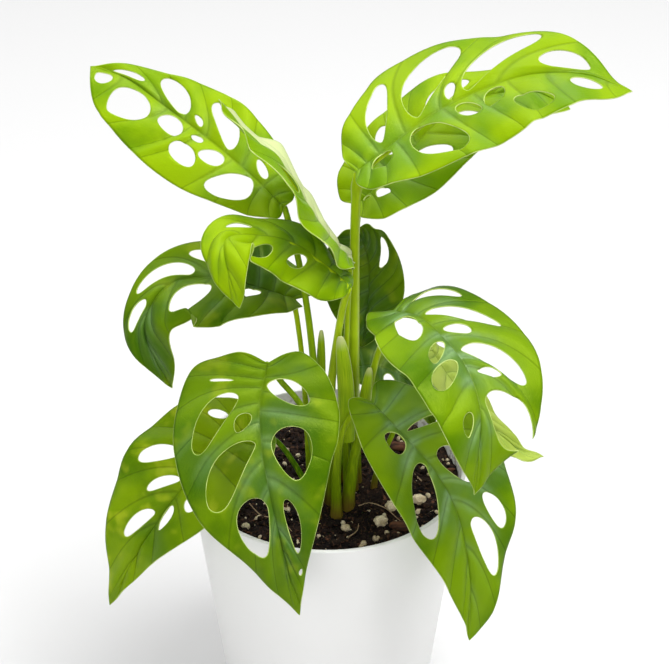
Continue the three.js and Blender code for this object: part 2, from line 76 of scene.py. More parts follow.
class Finish:
    """A material with one Principled shader, and short ways to build what feeds it."""

    def __init__(self, name, roughness, specular=0.5, tint=(1.0, 1.0, 1.0)):
        self.material = bpy.data.materials.new(name)
        self.material.use_nodes = True
        self.shader = self.material.node_tree.nodes["Principled BSDF"]
        self.shader.inputs["Roughness"].default_value = roughness
        self.shader.inputs["Specular IOR Level"].default_value = specular
        self.shader.inputs["Specular Tint"].default_value = (*tint, 1.0)

    def wire(self, source, target):
        self.material.node_tree.links.new(source, target)

    def node(self, kind, links=None, **settings):
        """Adds a node, sets its properties, and sets its sockets or links other sockets to them."""
        made = self.material.node_tree.nodes.new("ShaderNode" + kind)
        for key, value in settings.items():
            setattr(made, key, value)
        for key, value in (links or {}).items():
            if isinstance(value, bpy.types.NodeSocket):
                self.wire(value, made.inputs[key])
            else:
                made.inputs[key].default_value = value
        return made

    def place(self):
        """Each point's place on the piece, in metres."""
        return self.node("TexCoord").outputs["Object"]

    def clouds(self, vector, scale, detail):
        """Soft random patches, from 0 to 1."""
        places = {"Vector": vector, "Scale": scale, "Detail": detail}
        return self.node("TexNoise", places).outputs["Fac"]

    def stretch(self, vector, factors):
        """A vector with each of its parts multiplied by a factor of its own."""
        return self.node("VectorMath", {0: vector, 1: factors}, operation="MULTIPLY").outputs[0]

    def maths(self, operation, first, second=0.0):
        return self.node("Math", {0: first, 1: second}, operation=operation).outputs["Value"]

    def times(self, first, second):
        return self.maths("MULTIPLY", first, second)

    def step(self, value, low, high, start=0.0, end=1.0):
        """A smooth step from start to end as the value goes from low to high."""
        return self.node("MapRange", {"Value": value, 1: low, 2: high, 3: start, 4: end},
                         interpolation_type="SMOOTHSTEP").outputs["Result"]

    def mix(self, share, first, second):
        """Mixes two colours, each a plain colour or a socket, by a share, a number or a socket."""
        links = {0: share}
        for index, value in ((6, first), (7, second)):
            links[index] = value if isinstance(value, bpy.types.NodeSocket) else (*value, 1.0)
        return self.node("Mix", links, data_type="RGBA", clamp_factor=True).outputs[2]

    def feed(self, name, source):
        self.wire(source, self.shader.inputs[name])

    def emboss(self, height, strength, depth):
        """Gives the shader a relief that is this deep in metres."""
        links = {"Height": height, "Strength": strength, "Distance": depth}
        self.feed("Normal", self.node("Bump", links).outputs["Normal"])


let_go()
bpy.ops.mesh.primitive_plane_add(size=8.0, location=(0.0, 0.0, 0.0))
table = bpy.context.object
table.name = "table_top"
table_white = Finish("table_white", 0.6, 0.2)
table_place = table_white.place()
table_cloud = table_white.clouds(table_place, 3.0, 2.0)
table_white.feed("Base Color", table_white.mix(table_cloud, (0.61, 0.61, 0.61), (0.62, 0.62, 0.62)))
table.data.materials.append(table_white.material)

room = bpy.data.worlds.new("bright_room")
room.use_nodes = True
room.node_tree.nodes["Background"].inputs["Color"].default_value = (1.0, 1.0, 1.0, 1.0)
room.node_tree.nodes["Background"].inputs["Strength"].default_value = 0.4
bpy.context.scene.world = room

PLANT_MIDDLE = Vector((0.0, 0.0, 0.18))
for lamp_name, place, width, power in (
    ("window_light", (0.8, -0.35, 2.4), 1.2, 66.0),
    ("ceiling_light", (-0.6, 1.1, 2.8), 3.0, 58.0),
    ("front_light", (-0.5, -1.5, 1.0), 1.2, 11.0),
):
    bpy.ops.object.light_add(type="AREA", location=place)
    lamp = bpy.context.object
    lamp.name = lamp_name
    lamp.data.size = width
    lamp.data.energy = power
    lamp.rotation_euler = (PLANT_MIDDLE - lamp.location).to_track_quat("-Z", "Y").to_euler()

CAMERA_PLACE = (0.0, -0.5635, 0.557)
CAMERA_AIM = Vector((0.0033, 0.0, 0.212))
bpy.ops.object.camera_add(location=CAMERA_PLACE)
camera = bpy.context.object
camera.name = "camera"
camera.rotation_euler = (CAMERA_AIM - camera.location).to_track_quat("-Z", "Y").to_euler()
camera.data.lens = 80.0
camera.data.sensor_width = 36.0
bpy.context.scene.camera = camera
bpy.context.scene.view_settings.view_transform = "Standard"


# ---- Pot ----
# A plain round plant pot, moulded in one piece from white plastic with a satin skin. It tapers to a
# flat base with a rounded edge, and its thin wall ends in a plain rolled rim.

MM = 0.001
POT_HEIGHT = 140 * MM
RIM_RADIUS = 65 * MM
BASE_RADIUS = 50 * MM
POT_WALL = 2.2 * MM
POT_FLOOR = 4 * MM
BASE_ROUND = 6 * MM
FLOOR_ROUND = 5 * MM
RIM_ROUND = 0.7 * MM


def pick(kind, test):
    """In edit mode, selects just the vertices, edges or faces that pass the test."""
    bpy.ops.mesh.select_mode(type=kind)
    bpy.ops.mesh.select_all(action="DESELECT")
    mesh = bmesh.from_edit_mesh(bpy.context.object.data)
    for item in {"VERT": mesh.verts, "EDGE": mesh.edges, "FACE": mesh.faces}[kind]:
        item.select_set(test(item))
    mesh.select_flush_mode()
    bmesh.update_edit_mesh(bpy.context.object.data)


def ring_edge(radius, height):
    """A test for the edges that run round the pot at this radius and height."""
    def test(edge):
        return all(abs(v.co.xy.length - radius) < 0.4 * MM and abs(v.co.z - height) < 0.2 * MM
                   for v in edge.verts)
    return test


def face_out():
    """In edit mode, turns all faces of the piece outwards, and goes back to object mode."""
    bpy.ops.mesh.select_all(action="SELECT")
    bpy.ops.mesh.normals_make_consistent(inside=False)
    bpy.ops.object.mode_set(mode="OBJECT")


def dress(piece, *finishes):
    piece.data.materials.clear()
    for finish in finishes:
        piece.data.materials.append(finish.material)


def finish_piece(piece, name, finish, replaced=(), angle=None):
    """Puts the piece's place in its mesh, gives it its finish and makes it ride with the plant."""
    hold(piece)
    piece.name = name
    piece.data.name = name
    bpy.ops.object.transform_apply(location=True, rotation=True, scale=True)
    if angle is None:
        bpy.ops.object.shade_smooth()
    else:
        bpy.ops.object.shade_smooth_by_angle(angle=math.radians(angle))
    if finish is not None:
        dress(piece, finish)
    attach(piece, "root")
    if replaced:
        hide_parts(*replaced)


let_go()
bpy.ops.mesh.primitive_cylinder_add(vertices=160, radius=BASE_RADIUS, depth=POT_HEIGHT,
                                    location=(0.0, 0.0, POT_HEIGHT / 2))
pot = bpy.context.object
bpy.ops.object.transform_apply(location=True, rotation=False, scale=False)
edit()
pick("FACE", lambda face: face.normal.z > 0.9)
flare = RIM_RADIUS / BASE_RADIUS
bpy.ops.transform.resize(value=(flare, flare, 1.0))
bpy.ops.mesh.inset(thickness=POT_WALL)
down = (0.0, 0.0, POT_FLOOR - POT_HEIGHT)
bpy.ops.mesh.extrude_region_move(TRANSFORM_OT_translate={"value": down})
narrow = (BASE_RADIUS - POT_WALL) / (RIM_RADIUS - POT_WALL)
bpy.ops.transform.resize(value=(narrow, narrow, 1.0))
for radius, height, roundness, steps in (
    (BASE_RADIUS, 0.0, BASE_ROUND, 8),
    (BASE_RADIUS - POT_WALL, POT_FLOOR, FLOOR_ROUND, 5),
    (RIM_RADIUS, POT_HEIGHT, RIM_ROUND, 4),
    (RIM_RADIUS - POT_WALL, POT_HEIGHT, RIM_ROUND, 4),
):
    pick("EDGE", ring_edge(radius, height))
    bpy.ops.mesh.bevel(offset=roundness, segments=steps, affect="EDGES")
face_out()

pot_white = Finish("pot_white_plastic", 0.42, 0.45)
pot_place = pot_white.place()
pot_height = pot_white.node("SeparateXYZ", {"Vector": pot_place}).outputs["Z"]
pot_cloud = pot_white.clouds(pot_place, 18.0, 4.0)
pot_speck = pot_white.clouds(pot_place, 420.0, 3.0)
pot_shade = pot_white.mix(pot_cloud, (0.76, 0.76, 0.75), (0.80, 0.80, 0.79))
pot_low = pot_white.step(pot_height, 0.131, 0.139, 1.0, 0.0)
pot_damp = pot_white.times(pot_low, pot_white.step(pot_speck, 0.5, 0.62))
pot_radius = pot_white.stretch(pot_place, (1.0, 1.0, 0.0))
pot_radius = pot_white.node("VectorMath", {0: pot_radius}, operation="LENGTH").outputs["Value"]
wall_slope = (RIM_RADIUS - BASE_RADIUS) / POT_HEIGHT
pot_wall = pot_white.maths("ADD", pot_white.times(pot_height, wall_slope), BASE_RADIUS - POT_WALL / 2)
pot_inside = pot_white.maths("LESS_THAN", pot_radius, pot_wall)
pot_smear = pot_white.times(pot_damp, pot_white.times(pot_inside, 0.75))
pot_white.feed("Base Color", pot_white.mix(pot_smear, pot_shade, (0.16, 0.10, 0.06)))
pot_white.emboss(pot_speck, 0.05, 0.0004)
pot_white.feed("Roughness", pot_white.step(pot_cloud, 0.3, 0.7, 0.36, 0.48))
finish_piece(pot, "pot_shell", pot_white, ("pot",), angle=35)


# ---- Potting mix ----
# Dark peaty potting mix fills the pot to just under its rim. Its top is a crumbly, uneven surface that
# rises a little to the middle, with crumbs of peat lying loose on it.

SOIL_TOP = 133 * MM
SOIL_RADIUS = 61.6 * MM
SOIL_DEPTH = 30 * MM
SOIL_MOUND = 2 * MM
SOIL_CELLS = 170


def soil_height(x, y):
    """Height of the finished soil surface at a place, with its lumps."""
    mound = SOIL_MOUND * math.cos(math.pi / 2 * min(1.0, math.hypot(x, y) / SOIL_RADIUS)) ** 2
    spot = Vector((x, y, 0.0))
    lumps = 1.9 * noise.noise(spot * 90) + 1.5 * abs(noise.noise(spot * 230))
    lumps += 0.8 * noise.noise(spot * 620)
    return SOIL_TOP - 2.2 * MM + mound + lumps * MM


let_go()
bpy.ops.mesh.primitive_grid_add(x_subdivisions=SOIL_CELLS, y_subdivisions=SOIL_CELLS, size=2.0)
soil = bpy.context.object
for vertex in soil.data.vertices:
    x, y = vertex.co.x, vertex.co.y
    vertex.co.x = SOIL_RADIUS * x * math.sqrt(1 - y * y / 2)
    vertex.co.y = SOIL_RADIUS * y * math.sqrt(1 - x * x / 2)
    vertex.co.z = soil_height(vertex.co.x, vertex.co.y)
edit()
bpy.ops.mesh.select_mode(type="EDGE")
bpy.ops.mesh.select_all(action="DESELECT")
bpy.ops.mesh.select_non_manifold()
bpy.ops.mesh.extrude_region_move(TRANSFORM_OT_translate={"value": (0.0, 0.0, -SOIL_DEPTH)})
bpy.ops.transform.resize(value=(0.94, 0.94, 0.0))
bpy.ops.mesh.edge_face_add()
face_out()

peat = Finish("dark_peat", 0.95, 0.25)
peat_place = peat.place()
peat_patch = peat.clouds(peat_place, 140.0, 6.0)
peat_grain = peat.node("TexVoronoi", {"Vector": peat_place, "Scale": 700.0}).outputs["Distance"]
peat_patch = peat.step(peat_patch, 0.35, 0.7)
peat_dark = peat.mix(peat_patch, (0.004, 0.002, 0.002), (0.022, 0.011, 0.007))
peat_crumb = peat.step(peat_grain, 0.62, 0.85)
peat.feed("Base Color", peat.mix(peat_crumb, peat_dark, (0.07, 0.033, 0.018)))
peat.emboss(peat_grain, 0.9, 0.0008)
finish_piece(soil, "soil_bed", peat, ("soil",))

# Where the stalks come out of the potting mix, in millimetres, so that nothing lies in their way.
STALK_FEET = (
    (-4, -23.5), (-8, -16), (-4.5, -31.5), (-8, -24), (4, -29.5), (9.5, -22.5), (6, -4),
    (11, -10), (14, -3), (9, -16.5), (1, -20), (22, -9), (12, 4),
)
FOOT_ROOM = 3.6 * MM


def lump_shape(cuts, seed, rough):
    """An irregular lump of unit size, as corners and faces: a cube rounded and pulled about."""
    let_go()
    bpy.ops.mesh.primitive_cube_add(size=1.6)
    edit()
    for _ in range(cuts):
        bpy.ops.mesh.subdivide(number_cuts=1, smoothness=1.0)
    bpy.ops.transform.vertex_random(offset=rough, uniform=0.0, normal=0.0, seed=seed)
    bpy.ops.object.mode_set(mode="OBJECT")
    lump = bpy.context.object
    shape = ([v.co.copy() for v in lump.data.vertices], [tuple(f.vertices) for f in lump.data.polygons])
    bpy.data.objects.remove(lump)
    return shape


def scatter(name, shapes, spots):
    """One mesh of copies of small shapes: each spot has a place, three sizes and a turn."""
    corners, faces = [], []
    for number, (place, sizes, turn) in enumerate(spots):
        points, polygons = shapes[number % len(shapes)]
        first = len(corners)
        cos, sin = math.cos(turn), math.sin(turn)
        for p in points:
            x, y, z = p.x * sizes[0], p.y * sizes[1], p.z * sizes[2]
            corners.append((place[0] + x * cos - y * sin, place[1] + x * sin + y * cos, place[2] + z))
        faces += [tuple(first + i for i in polygon) for polygon in polygons]
    mesh = bpy.data.meshes.new(name)
    mesh.from_pydata(corners, [], faces)
    mesh.update()
    made = bpy.data.objects.new(name, mesh)
    bpy.context.collection.objects.link(made)
    return made


def loose_spots(count, seed, smallest, largest, flat, sink):
    """Places for loose bits on the soil, clear of the wall and of the stalks."""
    chance = random.Random(seed)
    spots = []
    while len(spots) < count:
        radius = (SOIL_RADIUS - 2 * MM) * math.sqrt(chance.random())
        angle = 2 * math.pi * chance.random()
        size = (smallest + (largest - smallest) * chance.random() ** 2.2) * MM
        x, y = radius * math.cos(angle), radius * math.sin(angle)
        if radius + size > SOIL_RADIUS:
            continue
        clear = FOOT_ROOM + size
        if any(math.hypot(x - foot[0] * MM, y - foot[1] * MM) < clear for foot in STALK_FEET):
            continue
        sizes = (size * chance.uniform(0.7, 1.0), size * chance.uniform(0.5, 0.9), size * flat)
        place = (x, y, soil_height(x, y) + sizes[2] * sink)
        spots.append((place, sizes, chance.uniform(0, 6.28)))
    return spots


crumb_shapes = [lump_shape(1, seed, 0.35) for seed in range(5)]
crumbs = scatter("soil_crumbs", crumb_shapes, loose_spots(1500, 3, 0.5, 2.0, 0.6, 0.35))
finish_piece(crumbs, "soil_crumbs", peat)


# ---- Perlite, bark and roots ----
# Bits mixed into the potting mix and lying on top of it: porous cream perlite, thin reddish bark chips
# and a few pale dry root strands. They only rest on the peat.

perlite = Finish("cream_perlite", 0.9, 0.3)
perlite_place = perlite.place()
perlite_patch = perlite.clouds(perlite_place, 260.0, 4.0)
perlite_pores = perlite.node("TexVoronoi", {"Vector": perlite_place, "Scale": 1300.0})
perlite_pores = perlite_pores.outputs["Distance"]
perlite_patch = perlite.step(perlite_patch, 0.35, 0.65)
perlite_tone = perlite.mix(perlite_patch, (0.46, 0.36, 0.22), (0.80, 0.69, 0.50))
perlite_dust = perlite.step(perlite_pores, 0.12, 0.3, 0.55, 0.0)
perlite.feed("Base Color", perlite.mix(perlite_dust, perlite_tone, (0.10, 0.055, 0.03)))
perlite.emboss(perlite_pores, 0.7, 0.0004)


def lump_for(solid, name, shape, pits, grain, shrink):
    """One lump where its solid lies, a little smaller than it and with a pitted surface."""
    low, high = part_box(solid)
    centre = [(a + b) / 2 for a, b in zip(low, high)]
    half = [(b - a) / 2 for a, b in zip(low, high)]
    lump = scatter(name, [shape], [(centre, half, 0.0)])
    for vertex in lump.data.vertices:
        offset = vertex.co - Vector(centre)
        vertex.co += offset * (pits * noise.noise(vertex.co * grain) - shrink)
    return lump


for number in range(1, 7):
    shape = lump_shape(4, number, 0.07)
    lump = lump_for(f"perlite_{number}", f"perlite_lump_{number}", shape, 0.2, 520, 0.3)
    finish_piece(lump, f"perlite_lump_{number}", perlite, (f"perlite_{number}",))
grains = scatter("perlite_grains", [lump_shape(1, seed, 0.3) for seed in (11, 12, 13)],
                 loose_spots(330, 8, 0.3, 1.7, 0.8, 0.45))
finish_piece(grains, "perlite_grains", perlite)

bark = Finish("red_brown_bark", 0.85, 0.3)
bark_place = bark.place()
bark_grain = bark.stretch(bark_place, (150.0, 700.0, 500.0))
bark_grain = bark.clouds(bark_grain, 1.0, 5.0)
bark_tone = bark.step(bark_grain, 0.35, 0.65)
bark.feed("Base Color", bark.mix(bark_tone, (0.030, 0.012, 0.007), (0.13, 0.050, 0.024)))
bark.emboss(bark_grain, 0.6, 0.0004)

for number in range(1, 4):
    shape = lump_shape(3, 20 + number, 0.12)
    chip = lump_for(f"bark_{number}", f"bark_chip_{number}", shape, 0.25, 420, 0.08)
    finish_piece(chip, f"bark_chip_{number}", bark, (f"bark_{number}",))
splinters = scatter("bark_splinters", [lump_shape(1, seed, 0.3) for seed in (31, 32)],
                    [(place, (sizes[0] * 1.9, sizes[1] * 0.7, sizes[2]), turn)
                     for place, sizes, turn in loose_spots(110, 15, 0.5, 1.9, 0.35, 0.7)])
finish_piece(splinters, "bark_splinters", bark)

# The root strands' routes over the potting mix, in millimetres.
ROOT_STEPS = 50
ROOTS = (
    ((14, -24), (19.5, -21.6), (26.3, -25.4), (31.9, -32.7), (37, -39.2)),
    ((9, -47), (13, -42), (14, -36)),
    ((-36, -22), (-30, -30), (-22, -33), (-16, -40)),
    ((44, -6), (40, 4), (42, 14), (36, 24)),
)


def smooth_between(a, b, c, d, t):
    """A place from b to c on a smooth curve through four places or numbers."""
    return (b + (c - a) * (t / 2) + (a * 2 - b * 5 + c * 4 - d) * (t * t / 2)
            + (b * 3 - a - c * 3 + d) * (t ** 3 / 2))


def even_line(points, count):
    """A smooth line through the points, given back as evenly spaced places and directions."""
    ends = [points[0] * 2 - points[1], *points, points[-1] * 2 - points[-2]]
    fine = []
    for i in range(len(points) - 1):
        a, b, c, d = ends[i:i + 4]
        for s in range(60):
            t = s / 60
            fine.append(smooth_between(a, b, c, d, t))
    fine.append(points[-1].copy())
    lengths = [0.0]
    for a, b in zip(fine, fine[1:]):
        lengths.append(lengths[-1] + (b - a).length)
    places, spot = [], 0
    for i in range(count + 1):
        goal = lengths[-1] * i / count
        while spot < len(fine) - 2 and lengths[spot + 1] < goal:
            spot += 1
        share = (goal - lengths[spot]) / max(1e-12, lengths[spot + 1] - lengths[spot])
        places.append(fine[spot].lerp(fine[spot + 1], share))
    directions = [(places[min(i + 1, count)] - places[max(i - 1, 0)]).normalized()
                  for i in range(count + 1)]
    return places, directions, lengths[-1]


def tapered_rod(name, places, radii, sides=3):
    """A rod swept along the places, round in section, with a radius of its own at each place."""
    let_go()
    line = bpy.data.curves.new(name, "CURVE")
    line.dimensions = "3D"
    line.bevel_depth = 1.0
    line.bevel_resolution = sides
    line.use_fill_caps = True
    thread = line.splines.new("POLY")
    thread.points.add(len(places) - 1)
    for point, place, radius in zip(thread.points, places, radii):
        point.co = (*place, 1.0)
        point.radius = radius
    rod = bpy.data.objects.new(name, line)
    bpy.context.collection.objects.link(rod)
    hold(rod)
    bpy.ops.object.convert(target="MESH")
    return bpy.context.object


dry_root = Finish("dry_root", 0.8, 0.3)
dry_root_place = dry_root.place()
dry_root_tone = dry_root.clouds(dry_root_place, 300.0, 3.0)
dry_root.feed("Base Color", dry_root.mix(dry_root_tone, (0.20, 0.12, 0.06), (0.52, 0.38, 0.24)))
for number, route in enumerate(ROOTS, 1):
    points = [Vector((x * MM, y * MM, soil_height(x * MM, y * MM) + 1.3 * MM)) for x, y in route]
    places, _, _ = even_line(points, ROOT_STEPS)
    radii = [0.32 * MM * (1 - 0.6 * i / ROOT_STEPS) for i in range(ROOT_STEPS + 1)]
    root = tapered_rod(f"root_strand_{number}", places, radii, sides=1)
    finish_piece(root, f"root_strand_{number}", dry_root)


# ---- How a leaf grows ----
# Each leaf is one thin blade on a long fleshy stalk that runs on under the blade as its midrib. The
# blade is pierced by oval holes between its side veins, and ends all round in a thin pale rim.

# Where along the midrib a blade's half widths are given, as shares of its length.
STATIONS = (0.08, 0.30, 0.52, 0.74, 0.92)
# Living leaves reflect light tinted by the green under their skin.
SAP_SHEEN = (0.7, 0.9, 0.08)
BLADE_THICKNESS = 0.5 * MM
RIM_THICKNESS = 0.44 * MM
MIDRIB_STEPS = 200
STALK_STEPS = 70
RIB_STEPS = 60
# How high the blade bulges between its side veins, in millimetres.
QUILT = 1.5
# Side veins leave the midrib at this power of their share of the blade, closer together at the base.
VEIN_CROWDING = 1.8


def over_soil(point):
    """A place in metres, given in millimetres with its height above the potting mix."""
    return Vector((point[0] * MM, point[1] * MM, point[2] * MM + SOIL_TOP))


def blade_form(midrib, face, left, right, lobe, fold, curl):
    """What a blade's shape follows from: its middle line, its margins, its folds and its curls."""
    places, directions, length = even_line([over_soil(p) for p in midrib], MIDRIB_STEPS)
    margins = [[(0.0, 0.0), (-back, 0.45 * widths[0] * MM),
                *((s, w * MM) for s, w in zip(STATIONS, widths)), (1.0, 0.0)]
               for back, widths in zip(lobe, (left, right))]
    return {"places": places, "directions": directions, "length": length, "margins": margins,
            "face": [Vector(f) for f in face], "reach": [max(left) * MM, max(right) * MM],
            "fold": [math.radians(f) for f in fold], "curl": [math.radians(c) for c in curl]}


def margin_at(margin, along):
    """The margin's place at a share along the side veins: share of the length, and width."""
    spot = (len(margin) - 1) * along
    i = min(int(spot), len(margin) - 2)
    a, b, c = margin[max(i - 1, 0)], margin[i], margin[i + 1]
    d = margin[min(i + 2, len(margin) - 1)]
    return [smooth_between(*row, spot - i) for row in zip(a, b, c, d)]


def blade_point(form, along, across):
    """Place and upward direction of a point of the blade, before its veins and waves are pressed in."""
    half = 0 if across > 0 else 1
    edge_x, edge_y = margin_at(form["margins"][half], along)
    out_share = abs(across)
    root = along ** VEIN_CROWDING
    x = form["length"] * (root + (edge_x - root) * out_share ** 1.5)
    y = edge_y * out_share
    k = min(1.0, max(0.0, x / form["length"]))
    spot = min(int(k * MIDRIB_STEPS), MIDRIB_STEPS - 1)
    rest = k * MIDRIB_STEPS - spot
    middle = form["places"][spot].lerp(form["places"][spot + 1], rest)
    ahead = form["directions"][spot].lerp(form["directions"][spot + 1], rest).normalized()
    up = form["face"][0].lerp(form["face"][1], k)
    up = (up - ahead * up.dot(ahead)).normalized()
    side = up.cross(ahead) * (1.0 if across > 0 else -1.0)
    lift = form["fold"][2 * half] * (1 - k) + form["fold"][2 * half + 1] * k
    bend = form["curl"][half] / form["reach"][half]
    end = lift - bend * y
    if abs(bend) < 1e-3:
        out, rise = y * math.cos(lift), y * math.sin(lift)
    else:
        out = (math.sin(lift) - math.sin(end)) / bend
        rise = (math.cos(end) - math.cos(lift)) / bend
    point = middle + ahead * min(x, 0.0) + side * out + up * rise
    return point, up * math.cos(end) - side * math.sin(end)


def side_veins(holes, side):
    """Where the side veins leave the midrib, in the gaps between the holes, and how far they lean."""
    rows = []
    for _, start, stop, *_ in sorted(hole for hole in holes if hole[0] == side):
        if rows and start < (rows[-1][0] + rows[-1][1]) / 2 + 0.02:
            rows[-1][1] = max(rows[-1][1], stop)
        else:
            rows.append([start, stop])
    veins = [0.0]
    between = [(a[1] + b[0]) / 2 for a, b in zip(rows, rows[1:])]
    if rows:
        between = [rows[0][0] - 0.02, *between, rows[-1][1] + 0.02]
    for place in [*between, 1.0]:
        gap = place - veins[-1]
        cells = max(1, round(gap / 0.1))
        for extra in range(1, cells):
            veins.append(place - gap + gap * extra / cells)
        veins.append(place)
    leans = [hole[5] / (hole[4] - hole[3]) for hole in holes if hole[0] == side]
    return veins, sum(leans) / len(leans) if leans else 0.04


def vein_count(veins, along, across):
    """How many side veins lie between the base and this point, with the share of the last gap."""
    places, lean = veins
    along = min(1.0, max(0.0, along - lean * (abs(across) - 0.5)))
    for i, (a, b) in enumerate(zip(places, places[1:])):
        if along <= b:
            return i + (along - a) / max(1e-6, b - a)
    return float(len(places) - 1)


def hole_cutter(hole):
    """A closed plug for one hole, in the flat plane of the share along and the share across."""
    side, start, stop, near, far, lean = hole
    sign = 1.0 if side == "L" else -1.0
    bpy.ops.mesh.primitive_cylinder_add(vertices=40, radius=1.0, depth=0.4)
    plug = bpy.context.object
    for vertex in plug.data.vertices:
        c = math.copysign(abs(vertex.co.x) ** 0.9, vertex.co.x)
        s = math.copysign(abs(vertex.co.y) ** (1.2 if far - near > 0.5 else 0.95), vertex.co.y)
        vertex.co.y = sign * ((near + far) / 2 + (far - near) / 2 * c)
        vertex.co.x = (start + stop) / 2 + (stop - start) / 2 * s * (1 + 0.15 * c) + lean * c / 2
    return plug


def punch_holes(blade, holes):
    """Cuts all holes at once out of the flat blade."""
    plugs = []
    for hole in holes:
        let_go()
        plugs.append(hole_cutter(hole))
    let_go()
    for plug in plugs:
        plug.select_set(True)
    bpy.context.view_layer.objects.active = plugs[0]
    if len(plugs) > 1:
        bpy.ops.object.join()
    plugs = bpy.context.object
    edit()
    face_out()
    hold(blade)
    punch = blade.modifiers.new("holes", "BOOLEAN")
    punch.operation = "DIFFERENCE"
    punch.solver = "EXACT"
    punch.object = plugs
    bpy.ops.object.modifier_apply(modifier="holes")
    bpy.data.objects.remove(plugs)


def rim_of(blade):
    """A thin round rim along every open edge of the blade, its outline and its holes."""
    edit()
    bpy.ops.mesh.select_all(action="SELECT")
    bpy.ops.mesh.remove_doubles(threshold=0.03 * MM)
    bpy.ops.mesh.select_mode(type="EDGE")
    bpy.ops.mesh.select_all(action="DESELECT")
    bpy.ops.mesh.select_non_manifold(extend=False, use_wire=False, use_boundary=True,
                                     use_multi_face=False, use_non_contiguous=False, use_verts=False)
    bpy.ops.mesh.duplicate()
    bpy.ops.mesh.separate(type="SELECTED")
    bpy.ops.object.mode_set(mode="OBJECT")
    hold([piece for piece in bpy.context.selected_objects if piece is not blade][0])
    bpy.ops.object.convert(target="CURVE")
    rim = bpy.context.object
    rim.data.bevel_depth = RIM_THICKNESS / 2
    rim.data.bevel_resolution = 1
    rim.data.use_fill_caps = True
    bpy.ops.object.convert(target="MESH")
    return bpy.context.object


def thicken(sheet, thickness, **finish):
    """Gives a thin sheet its thickness, half to each side."""
    solid = sheet.modifiers.new("thickness", "SOLIDIFY")
    solid.thickness = thickness
    solid.offset = 0.0
    for key, value in finish.items():
        setattr(solid, key, value)
    bpy.ops.object.modifier_apply(modifier="thickness")


def grow_blade(name, form, holes, skins, wave, seed):
    """The finished blade: a flat grid is cut, laid onto its form, quilted, thickened and rimmed."""
    let_go()
    rows = max(50, round(form["length"] / (0.8 * MM)))
    columns = max(24, round(sum(form["reach"]) / (1.0 * MM) / 2) * 2)
    bpy.ops.mesh.primitive_grid_add(x_subdivisions=rows, y_subdivisions=columns, size=2.0)
    blade = bpy.context.object
    blade.name = name
    for vertex in blade.data.vertices:
        vertex.co.x = (vertex.co.x + 1) / 2
    if holes:
        punch_holes(blade, holes)

    veins = {1: side_veins(holes, "L"), -1: side_veins(holes, "R")}
    lines = blade.data.uv_layers.active
    lines.name = "veins"
    for face in blade.data.polygons:
        sign = 1 if face.center.y > 0 else -1
        for corner in face.loop_indices:
            spot = blade.data.vertices[blade.data.loops[corner].vertex_index].co
            lines.data[corner].uv = (vein_count(veins[sign], spot.x, spot.y), spot.y)
    for vertex in blade.data.vertices:
        along, across = vertex.co.x, vertex.co.y
        point, normal = blade_point(form, along, across)
        count = vein_count(veins[1 if across > 0 else -1], along, across)
        width = abs(across)
        body = min(1.0, 5 * along) * min(1.0, 5 * (1 - along))
        pillow = abs(math.sin(math.pi * count)) ** 0.7 * min(1.0, 4 * width) * (1 - 0.75 * width ** 3)
        rise = QUILT * pillow
        rise -= 0.35 * math.exp(-(width * form["reach"][0] / (1.6 * MM)) ** 2)
        turn = seed + (1.5 if across > 0 else 0.0)
        rise += wave * width ** 3 * math.sin(math.pi * count + turn)
        rise += 1.6 * wave * width * noise.noise(point * 38 + Vector((seed, 0, 0)))
        vertex.co = point + normal * rise * body * MM

    rim = rim_of(blade)
    hold(blade)
    dress(blade, *skins)
    thicken(blade, BLADE_THICKNESS, material_offset=1, material_offset_rim=2)
    dress(rim, *skins)
    for face in rim.data.polygons:
        face.material_index = 2
    rim.select_set(True)
    bpy.ops.object.join()
    return bpy.context.object


def grow_stalk(name, form, foot, top, path, knee=0.0):
    """The stalk and midrib in one tapering rod, from the potting mix to the tip of the blade."""
    points = [over_soil((*path[0], -6.7)), over_soil((*path[0], 3)), *(over_soil(p) for p in path[1:])]
    base, normal = blade_point(form, 0.0, 0.0)
    points.append(base - normal * (0.3 * MM + top * 0.9 * MM))
    places, _, length = even_line(points, STALK_STEPS)
    radii = []
    for i in range(STALK_STEPS + 1):
        share = i / STALK_STEPS
        radius = foot + (top - foot) * min(1.0, share * 1.3)
        radius *= 1 + 0.25 * math.exp(-(share * length / (9 * MM)) ** 2)
        radius *= 1 + knee * math.exp(-(((1 - share) * length - 5 * MM) / (4 * MM)) ** 2)
        radii.append(radius * MM)
    for i in range(1, RIB_STEPS + 1):
        share = i / (RIB_STEPS + 2)
        rib = top * (0.8 - 0.6 * share) * MM
        point, normal = blade_point(form, share ** (1 / VEIN_CROWDING), 0.0)
        places.append(point - normal * (0.25 * MM + 0.9 * rib))
        radii.append(rib * (1 + 0.25 * max(0.0, 1 - i / 4)))
    return tapered_rod(name, places, radii)


